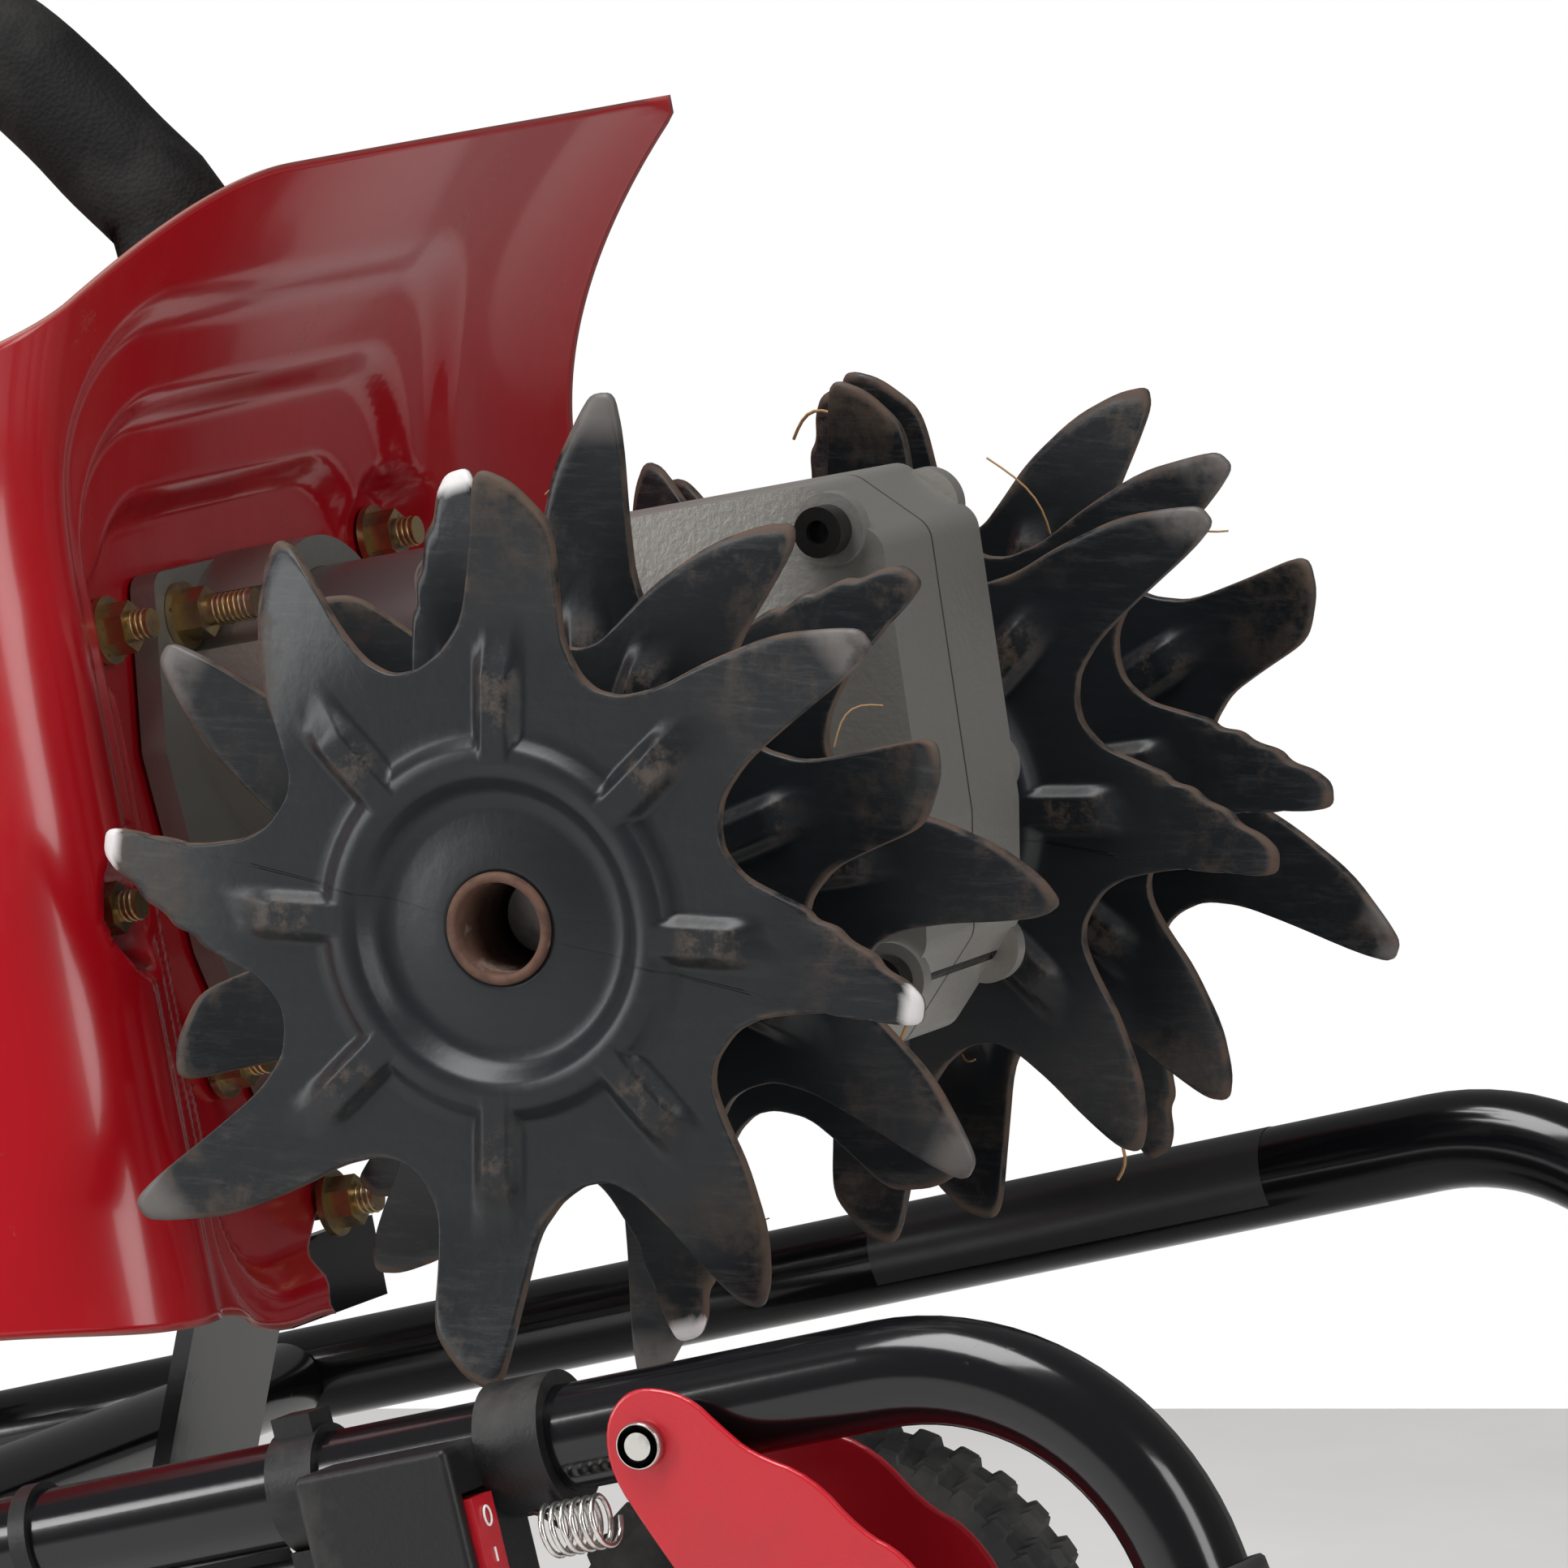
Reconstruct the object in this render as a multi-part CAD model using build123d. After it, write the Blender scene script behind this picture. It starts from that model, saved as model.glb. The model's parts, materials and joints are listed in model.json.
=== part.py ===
from build123d import *
import math
import os

# Mini tiller standing folded and tipped back on its transport wheels.
# Machine frame while modelling: +X runs along the boom from the engine to the tines, +Y along the
# tine axle to the machine's left, +Z to the machine's front. The tine axle is the Y axis.
# place() then tips the machine back and sets the middle of its footprint on the origin, +Z up.

TILT = 12.0              # boom angle above the floor, degrees
SHEET = 2.0              # shield thickness
AXLE_R = 8.0             # tine axle radius
AXLE_END = 110.0         # half length of the axle
HUB_BORE_R = 9.7
HUB_R = 11.9
TINE_STATIONS = [-130.0, -98.0, -66.0, 66.0, 98.0, 130.0]
TINE_PHASES = [0.0, -66.0, 55.0, 3.4, 10.0, -57.0]   # turn of each tine above the floor, degrees
TINE_THICK = 3.2
HUB_LENGTH = 27.0
DOME_R = 38.0
GEARBOX_HALF = 26.0      # half width along the axle
WORM_HEIGHT = 51.0       # boom axis above the axle
WORM_R = 11.0
WORM_WHEEL_R = 39.6
WORM_WHEEL_TEETH = 30
BOOM_R = 26.0
SHIELD_X = -119.0        # front face of the shield
TUBE_R = 11.1            # handle tubes, 7/8 inch
TUBE_Y = 158.0
TUBE_Z = -120.0          # handle tubes at the pivot
HANDLE_RISE = 2.7        # handlebar rises this much more than the boom, degrees
PIVOT_X = -330.0
BEND_X = 133.0
GRIP_END_Z = -240.0
WHEEL_X, WHEEL_Z = -65.0, -203.0
WHEEL_R = 68.0
WHEEL_Y = 94.0
WHEEL_WIDTH = 28.0
WHEEL_AXLE_R = 5.0
LEVER_X, LEVER_Z = 31.0, -123.0
SWITCH_X = -24.0
CARRY_R = 9.5
CARRY_Y = 40.0           # carry handle stands this far to the left
FOAM_R = 14.2
ORIGIN_X = -87.686        # middle of the footprint from the tine axle, after tipping
TIP = math.radians(TILT)
FLOOR_Z = WHEEL_X * math.sin(TIP) + WHEEL_Z * math.cos(TIP) - WHEEL_R      # floor below the tine axle
FOOT_X = -350.0          # the handle bracket's two feet touch the floor here
FOOT_Z = (FLOOR_Z - FOOT_X * math.sin(TIP)) / math.cos(TIP)


def place(shape):
    tipped = Rot(0, -TILT, 0) * shape
    return Pos(-ORIGIN_X, 0, -FLOOR_Z) * tipped


def on_handlebar(shape):
    """Swings a piece of the handlebar up from the boom's direction about the fold pivot."""
    return Pos(PIVOT_X, 0, TUBE_Z) * (Rot(0, -HANDLE_RISE, 0) * (Pos(-PIVOT_X, 0, -TUBE_Z) * shape))


def rod(start, axis, radius, length):
    plane = Plane(origin=start, z_dir=axis)
    return plane * Cylinder(radius, length, align=(Align.CENTER, Align.CENTER, Align.MIN))


def ring(start, axis, radius, inner, length):
    return rod(start, axis, radius, length) - rod(start, axis, inner, length)


def block(low, high):
    size = [h - l for l, h in zip(low, high)]
    centre = [(h + l) / 2 for l, h in zip(low, high)]
    return Pos(*centre) * Box(*size)


def rounded_block(low, high, radius):
    solid = block(low, high)
    return fillet(solid.edges(), radius)


def swept(points, radius, outer, inner=0.0):
    path = FilletPolyline(*points, radius=radius)
    section = Circle(outer)
    if inner:
        section -= Circle(inner)
    return sweep(Plane(origin=path @ 0, z_dir=path % 0) * section, path=path)


def slab(points, low, high):
    """Outline in the X-Z plane, extruded along Y from low to high."""
    face = make_face(Polyline(*[(x, 0, z) for x, z in points], close=True))
    return Pos(0, low, 0) * extrude(face, high - low, dir=(0, 1, 0))


def ribbon_plan(points, radius, thick, low, high):
    """Bent strip seen from the front, extruded along Z."""
    line = FilletPolyline(*points, radius=radius)
    return Pos(0, 0, low) * extrude(trace(line, thick), high - low)


def ribbon_side(points, radius, thick, low, high):
    """Bent strip seen from the side (X, Z), extruded along Y."""
    line = FilletPolyline(*points, radius=radius)
    strip = extrude(trace(line, thick), high - low)
    return Pos(0, high, 0) * (Rot(90, 0, 0) * strip)


# ---- shield and flange ---------------------------------------------------------------------
def tine_shield():
    plan = [(SHIELD_X - 30, -148), (SHIELD_X, -95), (SHIELD_X, 120), (SHIELD_X + 16, 150)]
    panel = ribbon_plan(plan, 20, SHEET, -87, 118)
    roof = ribbon_side([(SHIELD_X, 112), (SHIELD_X, 128), (-62, 163)], 10, SHEET, -60, 119)
    shield = panel + roof
    shield -= rod((-150, 0, WORM_HEIGHT), (1, 0, 0), BOOM_R + 1, 40)
    for y, z in NUT_PLACES:
        shield -= rod((-150, y, z), (1, 0, 0), 3.6, 40)
    solids = sorted(shield.solids(), key=lambda s: s.volume)
    return solids[-1]


SHIELD_NUTS = [(-54, 73), (82, 79), (-84, 15), (-40, -25), (-1, -62)]
FLANGE_NUTS = [(-29, 72.5)]
NUT_PLACES = SHIELD_NUTS + FLANGE_NUTS


def boom_flange():
    outline = [(-38, 83), (46, 83), (54, 50), (46, -14), (28, -50), (-20, -50), (-42, 0), (-48, 45)]
    face = make_face(Polyline(*[(0, y, z) for y, z in outline], close=True))
    plate = Pos(SHIELD_X + 1.1, 0, 0) * extrude(face, 6, dir=(1, 0, 0))
    plate = fillet(plate.edges().filter_by(Axis.X), 5)
    boss = rod((SHIELD_X + 6, 0, WORM_HEIGHT), (1, 0, 0), BOOM_R + 7, 22)
    casting = plate + boss - rod((-150, 0, WORM_HEIGHT), (1, 0, 0), BOOM_R + 0.1, 80)
    for y, z in FLANGE_NUTS:
        casting -= rod((-150, y, z), (1, 0, 0), 3.6, 60)
        casting -= rod((SHIELD_X + 7.1, y, z), (1, 0, 0), 8.2, 40)
    return casting.solid()


def boom_tube():
    return ring((-140, 0, WORM_HEIGHT), (1, 0, 0), BOOM_R, BOOM_R - 3, 140 - 56.3)


def shield_studs():
    back = SHIELD_X - 6
    short = [rod((back, y, z), (1, 0, 0), 3.2, 19) for y, z in SHIELD_NUTS]
    long = [rod((back, y, z), (1, 0, 0), 3.2, 32) for y, z in FLANGE_NUTS]
    return Compound(short + long)


def shield_nuts():
    nuts = []
    for y, z in NUT_PLACES:
        seat = SHIELD_X + (7.3 if (y, z) in FLANGE_NUTS else 1.2)
        plane = Plane(origin=(seat, y, z), z_dir=(1, 0, 0))
        nut = plane * (Cylinder(7.5, 1.6, align=(Align.CENTER, Align.CENTER, Align.MIN))
                       + extrude(RegularPolygon(5.8, 6), 7))
        nuts.append(nut - rod((seat - 1, y, z), (1, 0, 0), 3.25, 12))
    return Compound([n.solid() for n in nuts])


# ---- gearbox ---------------------------------------------------------------------------------
GEARBOX_OUTLINE = [(-56, 76), (40, 76), (55, 62), (52, 0), (47, -26), (26, -47), (-26, -47), (-56, -26)]
SCREW_PLACES = [(-46, 70), (44, 66), (45, 8), (38, -31), (-36, -34), (-50, 4)]


def gearbox_half(side):
    low, high = (0.4, GEARBOX_HALF) if side > 0 else (-GEARBOX_HALF, -0.4)
    body = slab(GEARBOX_OUTLINE, low, high)
    body = fillet(body.edges().filter_by(Axis.Y), 6)
    wheel_room = rod((0, -12, 0), (0, 1, 0), WORM_WHEEL_R + 2, 24)
    worm_room = rod((-40, 0, WORM_HEIGHT), (1, 0, 0), WORM_R + 4, 80)
    neck = rod((-80, 0, WORM_HEIGHT), (1, 0, 0), 9.0, 60)
    body -= wheel_room + worm_room + neck
    body -= rod((0, -40, 0), (0, 1, 0), 17, 80)
    for x, z in SCREW_PLACES:
        boss = rod((x, side * GEARBOX_HALF - 2, z), (0, 1, 0), 8, 4)
        body += boss
        body -= rod((x, -40, z), (0, 1, 0), 3.1, 80)
    return body.solid()


def gearbox_gasket():
    sheet = slab(GEARBOX_OUTLINE, -0.35, 0.35)
    sheet = fillet(sheet.edges().filter_by(Axis.Y), 6)
    sheet -= rod((0, -2, 0), (0, 1, 0), WORM_WHEEL_R + 2, 4)
    sheet -= rod((-80, 0, WORM_HEIGHT), (1, 0, 0), 9.0, 60)
    sheet -= rod((-40, 0, WORM_HEIGHT), (1, 0, 0), WORM_R + 4, 80)
    for x, z in SCREW_PLACES:
        sheet -= rod((x, -2, z), (0, 1, 0), 3.2, 4)
    return Compound(sheet.solids())


def gearbox_screws():
    screws = []
    for x, z in SCREW_PLACES:
        shank = rod((x, -29, z), (0, 1, 0), 3.0, 50)
        head = rod((x, -34, z), (0, 1, 0), 5.5, 5.8)
        socket = rod((x, -34, z), (0, 1, 0), 2.6, 3)
        screws.append((shank + head - socket).solid())
    return Compound(screws)


def bearings():
    axle = [ring((0, y, 0), (0, 1, 0), 16.9, AXLE_R + 0.05, 9) for y in (-22.0, 13.0)]
    shaft = [ring((x, 0, WORM_HEIGHT), (1, 0, 0), r, 4.56, 8) for x, r in ((-55.5, 8.9), (-100, 22.9), (31.5, 14.9))]
    return Compound(axle + shaft)


def axle_seals():
    return Compound([ring((0, y, 0), (0, 1, 0), 16.9, AXLE_R + 0.08, 4) for y in (-26.2, 22.2)])


# ---- tine rotor ------------------------------------------------------------------------------
HALF_STAR = [
    (59, 103), (72, 96), (96, 91), (92, 86), (84, 81), (65, 78), (56, 70), (56, 62),
    (72, 52), (94, 44), (105, 39), (105, 36.5), (92, 36), (64, 33.7), (55, 25), (56, 16),
    (68, 8), (80, 1.5), (91, -4), (94.5, -9), (69, -11.5), (60.5, -15), (55, -26), (62, -35.5),
    (80, -44), (94, -53), (95.6, -55.6), (87, -56.7), (67, -58.3), (57, -66), (57, -73),
]


def tine_plate(station, phase):
    phase -= TILT
    points = []
    for turn in (0, 180):
        for radius, angle in HALF_STAR:
            a = math.radians(angle + phase + turn)
            points.append((radius * math.cos(a), radius * math.sin(a)))
    plate = slab(points, station - TINE_THICK / 2, station + TINE_THICK / 2)
    inward = -1 if station > 0 else 1
    start = station if inward > 0 else station - HUB_LENGTH
    hub = rod((0, start - 2 * (inward > 0), 0), (0, 1, 0), HUB_R, HUB_LENGTH + 2)
    plate += hub
    plate -= rod((0, station - 60, 0), (0, 1, 0), AXLE_R + 0.05, 120)
    if abs(station) > 120:
        plate -= rod((0, math.copysign(AXLE_END + 2, station), 0), (0, inward * -1, 0), HUB_BORE_R, 30)
    hole = math.radians(16 + phase)
    plate -= rod((47 * math.cos(hole), station - 10, 47 * math.sin(hole)), (0, 1, 0), 4.2, 20)
    return plate.solid()


def tine_axle():
    return rod((0, -AXLE_END, 0), (0, 1, 0), AXLE_R, 2 * AXLE_END)


def worm_wheel():
    wheel = ring((0, -9, 0), (0, 1, 0), WORM_WHEEL_R, AXLE_R, 18)
    for k in range(WORM_WHEEL_TEETH):
        a = 2 * math.pi * k / WORM_WHEEL_TEETH
        slot = rod((WORM_WHEEL_R * math.cos(a), -10, WORM_WHEEL_R * math.sin(a)), (0, 1, 0), 2.2, 20)
        wheel -= slot
    return wheel.solid()


def hitch_pins():
    return Compound([rod((0, y, HUB_R + 0.2), (0, 0, 1), 2.2, 8).solid() for y in (-109.0, 109.0)])


# ---- drive line ------------------------------------------------------------------------------
def drive_shaft():
    return rod((-168, 0, WORM_HEIGHT), (1, 0, 0), 4.5, 168 + 39)


def worm():
    body = ring((-30, 0, WORM_HEIGHT), (1, 0, 0), WORM_R, 4.5, 60)
    for k in range(8):
        body -= ring((-25 + 7 * k, 0, WORM_HEIGHT), (1, 0, 0), WORM_R + 1, WORM_R - 3, 3)
    return body.solid()


def clutch_drum():
    x = -172
    drum = rod((x, 0, WORM_HEIGHT), (1, 0, 0), 30, 24)
    drum -= rod((x - 1, 0, WORM_HEIGHT), (1, 0, 0), 27, 20)
    drum -= rod((x - 5, 0, WORM_HEIGHT), (1, 0, 0), 4.5, 60)
    return drum.solid()


# ---- engine ----------------------------------------------------------------------------------
def clutch_housing():
    shell = rod((-196, 0, WORM_HEIGHT), (1, 0, 0), 42, 54)
    shell -= rod((-197, 0, WORM_HEIGHT), (1, 0, 0), 34, 50)
    shell -= rod((-197, 0, WORM_HEIGHT), (1, 0, 0), 6, 60)
    return shell.solid()


def crankcase():
    body = rounded_block((-262, -44, 8), (-197, 44, 104), 8)
    return body


def cylinder():
    stack = rounded_block((-256, 44.5, 20), (-204, 92, 92), 4)
    for k in range(6):
        y = 50 + 7 * k
        stack -= block((-262, y, 12), (-251, y + 3.4, 100))
        stack -= block((-209, y, 12), (-196, y + 3.4, 100))
    return stack


def spark_plug():
    return rod((-230, 92.5, 56), (0, 1, 0), 8, 24) + rod((-230, 116, 56), (0, 1, 0), 10, 14)


def muffler():
    return rounded_block((-256, 46, -32), (-204, 100, 18), 6)


def air_filter_cover():
    body = rounded_block((-256, -104, 44), (-200, -46, 106), 9)
    return body - rod((-228, -97, 60), (0, -1, 0), 9.6, 8)


def fuel_tank():
    tank = rounded_block((-300, -92, -66), (-196, 42, -9), 12)
    return tank + rod((-276, -88, -38), (0, -1, 0), 13, 11.5)


def starter_housing():
    shell = rod((-300, 0, WORM_HEIGHT), (1, 0, 0), 58, 37)
    shell = fillet(shell.edges().group_by(Axis.X)[0], 8)
    shell -= block((-320, -60, 84), (-262, -30, 120))
    return shell.solid()


def engine_shroud():
    body = rounded_block((-262, -50, 107), (-186, 92, 124), 6)
    return body


# ---- carry handle, brackets ------------------------------------------------------------------
def carry_handle():
    route = [(-131, CARRY_Y, 108), (-131, CARRY_Y, 160), (-170, CARRY_Y, 212), (-322, CARRY_Y, 230),
             (-356, CARRY_Y, 130), (-345, CARRY_Y, -69.5)]
    return swept(route, 30, CARRY_R, CARRY_R - 2)


def carry_foam():
    route = [(-131, CARRY_Y, 146), (-131, CARRY_Y, 160), (-170, CARRY_Y, 212), (-300, CARRY_Y, 227.4)]
    return swept(route, 30, FOAM_R, CARRY_R + 0.05)


def handle_bracket():
    bar = block((-352, -138, -76), (-318, 138, -70))
    for y in (-1, 1):
        low, high = (y * 144, y * 138) if y < 0 else (y * 138, y * 144)
        ear = slab([(-352, -70), (-312, -70), (-312, -145), (-326, FOOT_Z), (FOOT_X, FOOT_Z), (-356, -140)],
                   low, high)
        bar += ear
        bar -= rod((PIVOT_X, -200, TUBE_Z), (0, 1, 0), 4.1, 400)
    spine = block((-319, -24, -76), (-125, 24, -70)) + block((-125, -24, -86), (-121.2, 24, -68))
    return (bar + spine).solid()


def wheel_bracket():
    arm = ribbon_side([(-146, -78.1), (-166, -124), (-140, -184), (WHEEL_X, WHEEL_Z)], 14, 4, -23, 23)
    boss = rod((WHEEL_X, -78, WHEEL_Z), (0, 1, 0), 10, 156)
    bracket = arm + boss - rod((WHEEL_X, -100, WHEEL_Z), (0, 1, 0), WHEEL_AXLE_R, 200)
    return bracket.solid()


def wheel_axle():
    span = WHEEL_Y + WHEEL_WIDTH / 2 + 6
    axle = rod((WHEEL_X, -span, WHEEL_Z), (0, 1, 0), WHEEL_AXLE_R, 2 * span)
    reach = WHEEL_Y + WHEEL_WIDTH / 2 + 1
    for y in (-reach - 2, reach):
        axle += rod((WHEEL_X, y, WHEEL_Z), (0, 1, 0), 9, 2)
    return axle


# ---- wheels ----------------------------------------------------------------------------------
def wheel_hub(y):
    start = y - WHEEL_WIDTH / 2
    hub = rod((WHEEL_X, start + 3, WHEEL_Z), (0, 1, 0), 46, WHEEL_WIDTH - 6)
    hub -= rod((WHEEL_X, start, WHEEL_Z), (0, 1, 0), 40, 9)
    hub -= rod((WHEEL_X, start + WHEEL_WIDTH - 9, WHEEL_Z), (0, 1, 0), 40, 9)
    hub += rod((WHEEL_X, start, WHEEL_Z), (0, 1, 0), 13, WHEEL_WIDTH)
    return (hub - rod((WHEEL_X, start - 1, WHEEL_Z), (0, 1, 0), WHEEL_AXLE_R + 0.06, WHEEL_WIDTH + 2)).solid()


def wheel_tyre(y):
    start = y - WHEEL_WIDTH / 2
    tyre = ring((WHEEL_X, start, WHEEL_Z), (0, 1, 0), WHEEL_R, 46, WHEEL_WIDTH)
    tyre = fillet(tyre.edges().filter_by(GeomType.CIRCLE).group_by(SortBy.RADIUS)[-1], 6)
    return tyre


# ---- handlebar -------------------------------------------------------------------------------
def handle_tube(side):
    y = side * TUBE_Y
    route = [(PIVOT_X - 16, y, TUBE_Z), (BEND_X - 4, y, TUBE_Z), (BEND_X + 14, y, GRIP_END_Z)]
    tube = swept(route, 58, TUBE_R, TUBE_R - 1.6)
    tube -= rod((PIVOT_X, y - 30, TUBE_Z), (0, 1, 0), 4.05, 60)
    if side < 0:
        tube -= rod((LEVER_X, y - 30, LEVER_Z), (0, 1, 0), 3.02, 60)
    return tube


def cross_tube():
    half = TUBE_Y - TUBE_R - 0.1
    return ring((-215, -half, TUBE_Z), (0, 1, 0), 9.5, 7.9, 2 * half)


GRIP_LEAN = Vector(18, 0, GRIP_END_Z - TUBE_Z).normalized()


def grip_sleeve(side):
    start = Vector(BEND_X + 14, side * TUBE_Y, GRIP_END_Z) - GRIP_LEAN * 68
    return ring(start, GRIP_LEAN, 14.5, TUBE_R, 68) + rod(start + GRIP_LEAN * 68, GRIP_LEAN, 14.5, 4)


def pivot_bolts():
    bolts = []
    for side in (-1, 1):
        start = side * 137
        bolts.append(rod((PIVOT_X, start, TUBE_Z), (0, side, 0), 4.0, 36))
    return Compound(bolts)


def pivot_knob(side):
    y = side * (TUBE_Y + TUBE_R + 0.5)
    knob = rod((PIVOT_X, y, TUBE_Z), (0, side, 0), 20, 16)
    for k in range(6):
        a = math.radians(60 * k)
        knob -= rod((PIVOT_X + 23 * math.cos(a), y - side, TUBE_Z + 23 * math.sin(a)), (0, side, 0), 7, 18)
    return (knob - rod((PIVOT_X, y - side, TUBE_Z), (0, side, 0), 4.1, 9)).solid()


BOX_LOW = (SWITCH_X - 20, -TUBE_Y - 27, TUBE_Z - 30)
BOX_HIGH = (SWITCH_X + 16, -TUBE_Y + 4, TUBE_Z + 5)


def switch_housing():
    body = rounded_block(BOX_LOW, BOX_HIGH, 1.6)
    body -= rod((SWITCH_X - 40, -TUBE_Y, TUBE_Z), (1, 0, 0), TUBE_R + 0.05, 80)
    body -= block((BOX_HIGH[0] - 8, -TUBE_Y - 24, TUBE_Z - 25), (BOX_HIGH[0] + 5, -TUBE_Y - 13, TUBE_Z - 5))
    collar = ring((SWITCH_X + 15.9, -TUBE_Y, TUBE_Z), (1, 0, 0), TUBE_R + 3.2, TUBE_R + 0.05, 15)
    return (body + collar).solid()


def switch_rocker():
    body = block((BOX_HIGH[0] - 4.4, -TUBE_Y - 23.2, TUBE_Z - 23.6),
                 (BOX_HIGH[0] + 1.6, -TUBE_Y - 13.8, TUBE_Z - 6.4))
    return (body + rod((BOX_HIGH[0] - 2, -TUBE_Y - 23.8, TUBE_Z - 15), (0, 1, 0), 1.6, 10.6)).solid()


def cable_clip():
    x = -58
    band = ring((x, -TUBE_Y, TUBE_Z), (1, 0, 0), TUBE_R + 1.8, TUBE_R, 11)
    tab = block((x + 1, -TUBE_Y - 5, TUBE_Z + TUBE_R + 0.5), (x + 10, -TUBE_Y + 5, TUBE_Z + TUBE_R + 5))
    drop = block((x, -TUBE_Y - 8, TUBE_Z - TUBE_R - 10), (x + 11, -TUBE_Y + 6, TUBE_Z - TUBE_R - 0.5))
    drop -= rod((x - 5, -TUBE_Y - 1, TUBE_Z - TUBE_R - 5), (1, 0, 0), 2.9, 30)
    return (band + tab + drop).solid()


def throttle_cable():
    """Control cable and kill wire in one sheath, from the switch box back along the tube."""
    return rod((-264, -TUBE_Y - 1, TUBE_Z - TUBE_R - 5), (1, 0, 0), 2.8, 264 + SWITCH_X - 20.2)


def cable_clips():
    ties = [cable_clip()]
    for x in (-120, -185, -255):
        loop = ring((x, -TUBE_Y, TUBE_Z), (1, 0, 0), TUBE_R + 1.6, TUBE_R, 4)
        drop = block((x, -TUBE_Y - 5.5, TUBE_Z - TUBE_R - 8.8), (x + 4, -TUBE_Y + 3.5, TUBE_Z - TUBE_R - 0.6))
        drop -= rod((x - 5, -TUBE_Y - 1, TUBE_Z - TUBE_R - 5), (1, 0, 0), 2.85, 20)
        ties.append((loop + drop).solid())
    return Compound(ties)


def lever_spring():
    """Open torsion spring beside the lever, drawn as a coil."""
    coil = Helix(pitch=2.4, height=14.5, radius=5.2)
    wire = sweep(Plane(origin=coil @ 0, z_dir=coil % 0) * Circle(0.55), path=coil)
    lying = Rot(0, 90, 0) * wire
    return Pos(LEVER_X - 27, -TUBE_Y - 13, LEVER_Z - 14) * lying


LEVER_PROFILE = [(-8, 5), (-3, 10.5), (3, 11.5), (12, 8), (18, 0), (23, -6), (35, -13), (43, -26), (51, -32), (57, -44),
                 (56, -58), (48, -68), (34, -70), (20, -60), (8, -44), (0, -26), (-4, -17), (-9, -5)]


def throttle_lever():
    outline = [(LEVER_X + x, LEVER_Z + z) for x, z in LEVER_PROFILE]
    lever = slab(outline, -TUBE_Y - 16, -TUBE_Y + 18)
    room = slab(outline, -TUBE_Y - 14.4, -TUBE_Y + 16.4)
    lever -= Pos(2.0, 0, 2.4) * room
    lever -= block((LEVER_X - 16, -TUBE_Y - 14.4, LEVER_Z - 16), (LEVER_X + 24, -TUBE_Y + 16.4, LEVER_Z + 20))
    lever -= rod((LEVER_X, -200, LEVER_Z), (0, 1, 0), 3.05, 100)
    solids = sorted(lever.solids(), key=lambda s: s.volume)
    return solids[-1]


def lever_rivet():
    y = -TUBE_Y - 16
    pin = rod((LEVER_X, y - 0.4, LEVER_Z), (0, 1, 0), 3.0, 35)
    head = rod((LEVER_X, y - 3, LEVER_Z), (0, 1, 0), 4.7, 2.7)
    return (pin + head).solid()


# ---- small controls --------------------------------------------------------------------------
def fuel_cap():
    cap = rod((-276, -92.9, -38), (0, -1, 0), 19, 16)
    return (cap - rod((-276, -90, -38), (0, -1, 0), 13.4, 10.2)).solid()


def starter_grip():
    return rounded_block((-296, -56, 112), (-270, -34, 124), 3) + rod((-283, -45, 99), (0, 0, 1), 1.8, 16)


def primer_bulb():
    bulb = rod((-228, -104.4, 60), (0, -1, 0), 9, 7)
    return fillet(bulb.edges().group_by(Axis.Y)[0], 4)


def choke_lever():
    return block((-216, -109, 86), (-210, -104.4, 102)) + rod((-213, -109, 89), (0, 1, 0), 4.5, 4.6)


HANDLEBAR_NODES = ("handle_tube", "grip", "cross_tube", "switch", "cable", "throttle", "lever")


def build():
    parts = {
        "tine_shield": tine_shield(), "boom_flange": boom_flange(), "boom_tube": boom_tube(),
        "shield_studs": shield_studs(), "shield_nuts": shield_nuts(),
        "gearbox_right": gearbox_half(-1), "gearbox_left": gearbox_half(1),
        "gearbox_gasket": gearbox_gasket(), "gearbox_screws": gearbox_screws(),
        "bearings": bearings(), "axle_seals": axle_seals(),
        "tine_axle": tine_axle(), "worm_wheel": worm_wheel(), "hitch_pins": hitch_pins(),
        "drive_shaft": drive_shaft(), "worm": worm(), "clutch_drum": clutch_drum(),
        "clutch_housing": clutch_housing(), "crankcase": crankcase(), "cylinder": cylinder(),
        "spark_plug": spark_plug(), "muffler": muffler(), "air_filter_cover": air_filter_cover(),
        "fuel_tank": fuel_tank(), "starter_housing": starter_housing(),
        "engine_shroud": engine_shroud(), "carry_handle": carry_handle(), "carry_foam": carry_foam(),
        "handle_bracket": handle_bracket(),
        "wheel_bracket": wheel_bracket(), "wheel_axle": wheel_axle(),
        "cross_tube": cross_tube(), "pivot_bolts": pivot_bolts(),
        "switch_housing": switch_housing(), "switch_rocker": switch_rocker(),
        "throttle_cable": throttle_cable(), "cable_clips": cable_clips(), "lever_spring": lever_spring(),
        "throttle_lever": throttle_lever(), "lever_rivet": lever_rivet(),
        "fuel_cap": fuel_cap(), "starter_grip": starter_grip(),
        "primer_bulb": primer_bulb(), "choke_lever": choke_lever(),
    }
    for number, (station, phase) in enumerate(zip(TINE_STATIONS, TINE_PHASES), start=1):
        parts[f"tine_{number}"] = tine_plate(station, phase)
    for name, side in (("right", -1), ("left", 1)):
        parts[f"handle_tube_{name}"] = handle_tube(side)
        parts[f"grip_{name}"] = grip_sleeve(side)
        parts[f"pivot_knob_{name}"] = pivot_knob(side)
        parts[f"wheel_hub_{name}"] = wheel_hub(side * WHEEL_Y)
        parts[f"wheel_tyre_{name}"] = wheel_tyre(side * WHEEL_Y)
    return parts


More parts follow.
